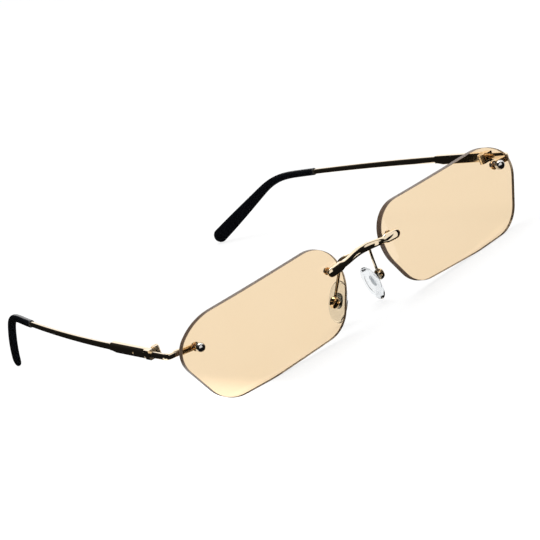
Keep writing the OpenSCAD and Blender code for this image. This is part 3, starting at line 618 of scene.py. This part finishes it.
# Arm: a squared oval carried along the line and 3 mm into the sleeve, its height falling evenly on the way
def armBar(side):
    s = np.linspace(0.0, arm["length"] + 3, 70)
    high = mix(arm["h"], arm["endH"], np.minimum(1, s / arm["length"])) / 2
    return carried(*armLine(s, side), oval(arm["w"] / 2 * np.ones(len(s)), high, 72, 3))


# Sleeve: from a round mouth with a soft lip, by an ease, to a flat paddle whose end closes as sqrt(1 - s^2)
def sleeveSkin(side):
    end, r, lip = sleeve["length"], sleeve["endR"], sleeve["lip"]
    a = np.linspace(0, np.pi / 2, 16)
    t = np.concatenate([lip * (1 - np.cos(a[:-1])), np.linspace(lip, end - r, 110)[:-1],
                        end - r * (1 - np.sin(a))])
    flat = ease((t - sleeve["bendStart"]) / (end - sleeve["bendStart"]))
    over = np.maximum(0, (t - end + r) / r)
    close = np.sqrt(np.maximum(0.0006, 1 - over * over))
    swell = np.sqrt(np.maximum(0, 1 - (1 - t / lip) ** 2))
    mouth = np.where(t < lip, 1 - sleeve["lipShare"] + sleeve["lipShare"] * swell, 1)
    wide = mix(sleeve["mouth"], sleeve["thick"], flat) * np.sqrt(close) * mouth / 2
    high = mix(sleeve["mouth"], sleeve["high"], flat) * close * mouth / 2
    return carried(*armLine(arm["length"] + sleeve["gap"] + t, side), oval(wide, high, 64, 2.3))


for side in (-1, 1):
    word = sideWord[side]
    pieces = [("hinge box", hingeBox(), paleGold, "hinge_box_", "gold_metal"),
              ("arm", armBar(side), paleGold, "arm_", "gold_metal"),
              ("sleeve", sleeveSkin(side), blackSleeve, "tip_", "tip_plastic")]
    for name, skin, material, node, slotName in pieces:
        addPiece(name + " " + word, meshOf(name, [onHinge(skin, side)]), [material], [node + word],
                 word + "_temple", weighted=name != "sleeve")
print("arms made")


# Nose pads and their wires

pad = dict(x=9.4, y=7.4, z=8.2, length=13.5, w=7.0, t=2.2, behind=-0.6, below=-1, flare=17.0, lean=22.0,
           box=2.6, boxH=3.6, slot=1.1, pinX=0.45, pinR=0.4, wireR=0.45)
insert = dict(w=1.5, high=2.5, t=0.5, gap=0.4, seat=0.05, tab=(0.95, 0.45, 0.8), tabX=0.9)


# From the frame of a pad box, with x towards the nose and z along the pad
def onPad(points, side):
    turn = turnAbout("x", pad["lean"]) @ turnAbout("y", -pad["flare"]) @ turnAbout("z", 180 - splay[side])
    return standing(points @ turn.T + [pad["x"], pad["y"], pad["z"]], side)


# Smooth curve through points, so many steps between two: a cubic, whose slope at a point is half the step
# between the two points beside it
def throughPoints(points, steps):
    p = np.vstack([points[:1], points, points[-1:]])
    t = np.linspace(0, 1, steps, endpoint=False)[:, None]
    a, b, c, d = (p[k:len(p) - 3 + k, None, :] for k in range(4))
    curve = 0.5 * (2 * b + (c - a) * t + (2 * a - 5 * b + 4 * c - d) * t * t
                   + (3 * b - a - 3 * c + d) * t * t * t)
    return np.vstack([curve.reshape(-1, 3), points[-1:]])


# Wire: a round bar on a smooth curve, from behind the bar, out along it, then back and down to the top of
# the pad box
def padWire():
    r, up = pad["wireR"], pair["bridgeZ"]
    root = barLine(np.array([1.6]))[0] + [0, bridge["barT"] / 2 + r + 0.03, 0]
    f, l = np.radians(pad["flare"]), np.radians(pad["lean"])
    upright = np.array([-np.sin(f), -np.sin(l) * np.cos(f), np.cos(l) * np.cos(f)])
    foot = np.array([pad["x"], pad["y"], pad["z"]]) + upright * (pad["boxH"] / 2 - 0.1)
    points = np.array([root, root + [2.2, 0.9, 0.1], [5.5, 1.2, up + 0.2], [6.1, 1.9, up - 0.9],
                       [6.7, 3.4, up - 3.6], [8.5, 6.5, up - 9.6], foot])
    return roundBar(throughPoints(points, 14), r, 24, hint=(0.3, -0.9, 0.2))


# Block with round edges: rows over the latitude a of a ball whose power squares it, c and s being the powers
# of its cosine and sine
def roundedBlock(x, y, z, power):
    a = np.linspace(-np.pi / 2, np.pi / 2, 33)[1:-1]
    c, s = np.abs(np.cos(a)) ** (2 / power), np.sign(np.sin(a)) * np.abs(np.sin(a)) ** (2 / power)
    ring = oval(x * c, y * c, 48, power)
    return np.concatenate([ring, np.broadcast_to((z * s)[:, None, None], ring.shape[:2] + (1,))], axis=-1)


# Oval disc across x: each row a share of the full oval at its depth
def ovalDisc(wide, high, depth, share, count, power):
    ring = oval(wide * np.array(share), high * np.array(share), count, power)
    x = np.broadcast_to(np.array(depth)[:, None], ring.shape[:2])
    return np.stack([x, ring[..., 0], ring[..., 1]], axis=-1)


# Pad: an oval that swells from the box side and closes in a soft dome on the nose side
def padSkin():
    # the back is a little hollow round the insert, then a lip, the swell and the soft front
    depth = np.array([0.3, 0.28, 0.22, 0.12, 0.03, 0, 0.02, 0.06, 0.14, 0.25, 0.38, 0.5, 0.62, 0.73, 0.82,
                      0.9, 0.955, 0.985, 1.0])
    share = [0.1, 0.3, 0.46, 0.58, 0.66, 0.72, 0.78, 0.84, 0.91, 0.96, 0.99, 1.0, 0.985, 0.95, 0.885, 0.78,
             0.63, 0.42, 0.18]
    base = pad["box"] / 2 + insert["gap"] + insert["t"] + insert["seat"]
    skin = ovalDisc(pad["w"] / 2, pad["length"] / 2, base + depth * pad["t"], share, 72, 2.3)
    return skin + [0, pad["behind"], pad["below"]]


# Plate of the insert: an oval with softened edges
def insertPlate():
    depth = pad["box"] / 2 + insert["gap"] + np.array([0, 0.1, 0.24, 0.76, 0.9, 1]) * insert["t"]
    return ovalDisc(insert["w"], insert["high"], depth, [0.94, 0.985, 1, 1, 0.985, 0.94], 56, 2.6)


for side in (-1, 1):
    word = sideWord[side]
    wire = meshOf("pad wire", [standing(padWire(), side)])
    addPiece("pad wire " + word, wire, [paleGold], ["pad_arm_" + word], "frame")
    b, s = pad["box"] / 2, pad["slot"] / 2
    slot = prism(np.array([[-0.5, -s], [3, -s], [3, s], [-0.5, s]]), -4, 4)
    hole = turnedPiece([[pad["pinR"], -4], [pad["pinR"], 4]], 32) + [pad["pinX"], 0, 0]
    padBox = machined("pad box", roundedBlock(b, b, pad["boxH"] / 2, 2.9), [], [slot, hole])
    addPiece("pad box " + word, placed(padBox, onPad, side), [paleGold], ["pad_box_" + word],
             "frame")
    tab = roundedBlock(*insert["tab"], 6) + [insert["tabX"], 0, 0]
    plate = meshOf("pad insert", [onPad(insertPlate(), side), onPad(tab, side)])
    addPiece("pad insert " + word, plate, [clearInsert], ["pad_insert_" + word],
             word + "_pad", weighted=False)
    skin = meshOf("nose pad", [onPad(padSkin(), side)])
    addPiece("nose pad " + word, skin, [clearSilicone], ["nose_pad_" + word],
             word + "_pad", weighted=False)
print("pads made")


# CAD nodes that are shown as they are

cadFinish = {"hinge_screw": paleGold, "hinge_slider": paleGold, "cap_rivet": paleGold,
             "pad_screws": paleGold, "spring_cap": brightNickel, "spring": springSteel}
for node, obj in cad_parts.items():
    stem = node.replace("_left", "").replace("_right", "")
    if stem in cadFinish:
        obj.data.materials.clear()
        obj.data.materials.append(cadFinish[stem])


# Studio

# place and directions of the camera in metres and unit lengths, its lens in millimetres
studio = dict(camera=(-0.635, -1.09040, 0.354455), right=(0.74493, -0.55858, -0.36478),
              up=(0.45023, 0.01743, 0.89274), lens=282.03, boxPlace=(0.05, 0.15, 0.95), boxPower=6.0,
              boxSize=0.7, floorZ=-0.0002, cardZ=0.0002)


# Sheet with four corners
def plainSheet(name, corners, material):
    mesh = bpy.data.meshes.new(name)
    mesh.from_pydata(corners, [], [(0, 1, 2, 3)])
    mesh.materials.append(material)
    obj = bpy.data.objects.new(name.replace(" ", "_"), mesh)
    bpy.context.scene.collection.objects.link(obj)
    return obj


# Level rectangle at a height
def level(x0, x1, y0, y1, z):
    return [(x0, y0, z), (x1, y0, z), (x1, y1, z), (x0, y1, z)]


# Grey without a hex value, linear as it stands
def grey(value):
    return (value, value, value, 1)


# Material of a thing of the studio, whose surface the given function works out
def studioMaterial(name, surface):
    material = bpy.data.materials.new(name)
    tree = emptyTree(material)
    addNode(tree, "ShaderNodeOutputMaterial", {"Surface": surface(tree).outputs[0]})
    return material


# Largest of several numbers
def largest(tree, first, *others):
    for other in others:
        first = addNode(tree, "ShaderNodeMath", {0: first, 1: other}, operation="MAXIMUM").outputs[0]
    return first


# White paper: part of its white is its own for the camera, mirrors and glass, so that only a soft shadow is
# left on it. Its own white is stronger towards the left: a painted pool of light, which the lens there shows
def paper(tree):
    path = addNode(tree, "ShaderNodeLightPath").outputs
    seen = largest(tree, path["Is Camera Ray"], path["Is Transmission Ray"], path["Is Glossy Ray"])
    lit = addNode(tree, "ShaderNodeBsdfDiffuse", {"Color": grey(0.8)})
    faded = addNode(tree, "ShaderNodeBsdfDiffuse", {"Color": grey(0.25)})
    place = addNode(tree, "ShaderNodeTexCoord").outputs["Object"]
    across = addNode(tree, "ShaderNodeSeparateXYZ", {0: place}).outputs["X"]
    # painted pool of light: the paper's own white rises from 0.81 to 1.2 towards the left
    fade = {"Value": across, "From Min": -0.053, "From Max": -0.040, "To Min": 1.2, "To Max": 0.81}
    paintedGlow = addNode(tree, "ShaderNodeMapRange", fade, interpolation_type="SMOOTHSTEP")
    white = addNode(tree, "ShaderNodeEmission", {"Color": grey(1), "Strength": paintedGlow.outputs[0]})
    own = addNode(tree, "ShaderNodeAddShader", {0: faded.outputs[0], 1: white.outputs[0]})
    return addNode(tree, "ShaderNodeMixShader", {0: seen, 1: lit.outputs[0], 2: own.outputs[0]})


# Matt black
def mattBlack(tree):
    return addNode(tree, "ShaderNodeBsdfDiffuse", {"Color": grey(0.01)})


# Card that the camera looks past through a lens: black for a ray that a mirror sent on, so with a glossy
# depth above 0.5, and clear for any other
def mirrorsOnly(tree):
    depth = addNode(tree, "ShaderNodeLightPath").outputs["Glossy Depth"]
    mirrored = addNode(tree, "ShaderNodeMath", {0: depth, 1: 0.5}, operation="GREATER_THAN")
    black = mattBlack(tree)
    clear = addNode(tree, "ShaderNodeBsdfTransparent")
    return addNode(tree, "ShaderNodeMixShader",
                   {0: mirrored.outputs[0], 1: clear.outputs[0], 2: black.outputs[0]})


plainSheet("floor", level(-3, 3, -3, 3, studio["floorZ"]), studioMaterial("white paper", paper))

# Black cards lie flat beside the glasses, as for any polished metal, and only mirrors see them. The one in
# front is also met by what a mirror sends through a lens
blackCard = studioMaterial("black card", mattBlack)
frontCard = studioMaterial("black card in front", mirrorsOnly)
cards = {"card_front": (level(-3, 3, -3, -0.072, studio["cardZ"]), frontCard)}
blackSides = {"under": (-3, 3, -0.072, -0.058), "left": (-3, -0.112, -0.058, 0),
              "hinge": (-0.09, -0.045, -0.02, 0), "behind": (-3, 0.058, 0, 3), "far": (0.058, 3, 0.1, 3)}
for name, sides in blackSides.items():
    cards["card_" + name] = (level(*sides, studio["cardZ"]), blackCard)

# Small white cards stand just in front of the bridge and give it its highlights: one opposite its middle, two
# opposite its right end. Their corners are in millimetres
whiteCard = studioMaterial("white card", lambda tree: addNode(tree, "ShaderNodeEmission", {"Color": grey(1)}))
for name, y, corners in (("middle", -0.079, [(4.7, 16), (6.3, 14), (6.3, 28), (4.7, 27)]),
                         ("right_low", -0.082, [(12, 9), (18.5, 9), (18.5, 22.5), (16.2, 22.5)]),
                         ("right_high", -0.082, [(11.8, 19), (18.5, 22.7), (18.5, 30), (11.8, 30)])):
    cards["white_" + name] = ([(x * 0.001, y, z * 0.001) for x, z in corners], whiteCard)
for name, (corners, material) in cards.items():
    card = plainSheet(name, corners, material)
    card.visible_camera = card.visible_diffuse = card.visible_shadow = False
    card.visible_transmission = material == frontCard


# World: white for the camera; for the rest a dim room with a bright wall behind the glasses, on their right,
# that runs on over them, and a window in front, on their left. Each is a product of smooth steps over the
# direction
def room():
    world = bpy.data.worlds.new("room")
    bpy.context.scene.world = world
    tree = emptyTree(world)
    way = addNode(tree, "ShaderNodeTexCoord").outputs["Generated"]
    axes = addNode(tree, "ShaderNodeSeparateXYZ", {0: way}).outputs

    # Smooth step from low to high as the value goes from start to end
    def step(value, start, end, low=0.0, high=1.0):
        ends = {"Value": value, "From Min": start, "From Max": end, "To Min": low, "To Max": high}
        return addNode(tree, "ShaderNodeMapRange", ends, interpolation_type="SMOOTHSTEP").outputs[0]

    # Sum or product of two numbers
    def combined(first, second, operation):
        return addNode(tree, "ShaderNodeMath", {0: first, 1: second}, operation=operation).outputs[0]

    rise = combined(axes["Y"], axes["Z"], "ADD")
    wall = combined(step(axes["X"], 0.34, 0.44), step(rise, 0.1, 0.3, 0.0, 1.25), "MULTIPLY")
    ceiling = step(axes["Z"], 0.3, 0.9, 0.012, 0.06)
    window = combined(step(axes["X"], 0.36, 0.26), step(axes["Y"], -0.5, -0.6), "MULTIPLY")
    window = combined(window, step(axes["Z"], 0.0, 0.06), "MULTIPLY")
    camera = addNode(tree, "ShaderNodeLightPath").outputs["Is Camera Ray"]
    strength = largest(tree, camera, wall, ceiling, window)
    sky = addNode(tree, "ShaderNodeBackground", {"Color": grey(1), "Strength": strength})
    addNode(tree, "ShaderNodeOutputWorld", {"Surface": sky.outputs[0]})


# Square soft box at a place, turned towards the middle of the floor
def softBox(name, place, size, power):
    light = bpy.data.lights.new(name, "AREA")
    light.shape, light.size, light.size_y, light.energy = "RECTANGLE", size, size, power
    obj = bpy.data.objects.new(name, light)
    bpy.context.scene.collection.objects.link(obj)
    turn = (-Vector(place)).to_track_quat("-Z", "Y").to_matrix().to_4x4()
    obj.matrix_world = Matrix.Translation(place) @ turn


room()
softBox("box above", studio["boxPlace"], studio["boxSize"], studio["boxPower"])

right, up = Vector(studio["right"]), Vector(studio["up"])
back = right.cross(up)
camera = bpy.data.cameras.new("camera")
camera.lens, camera.sensor_width, camera.clip_start = studio["lens"], 36, 0.01
cameraObj = bpy.data.objects.new("camera", camera)
bpy.context.scene.collection.objects.link(cameraObj)
turn = Matrix((right, up, back)).transposed().to_4x4()
cameraObj.matrix_world = Matrix.Translation(studio["camera"]) @ turn
bpy.context.scene.camera = cameraObj
bpy.context.scene.view_settings.view_transform = "Standard"
print("studio made")
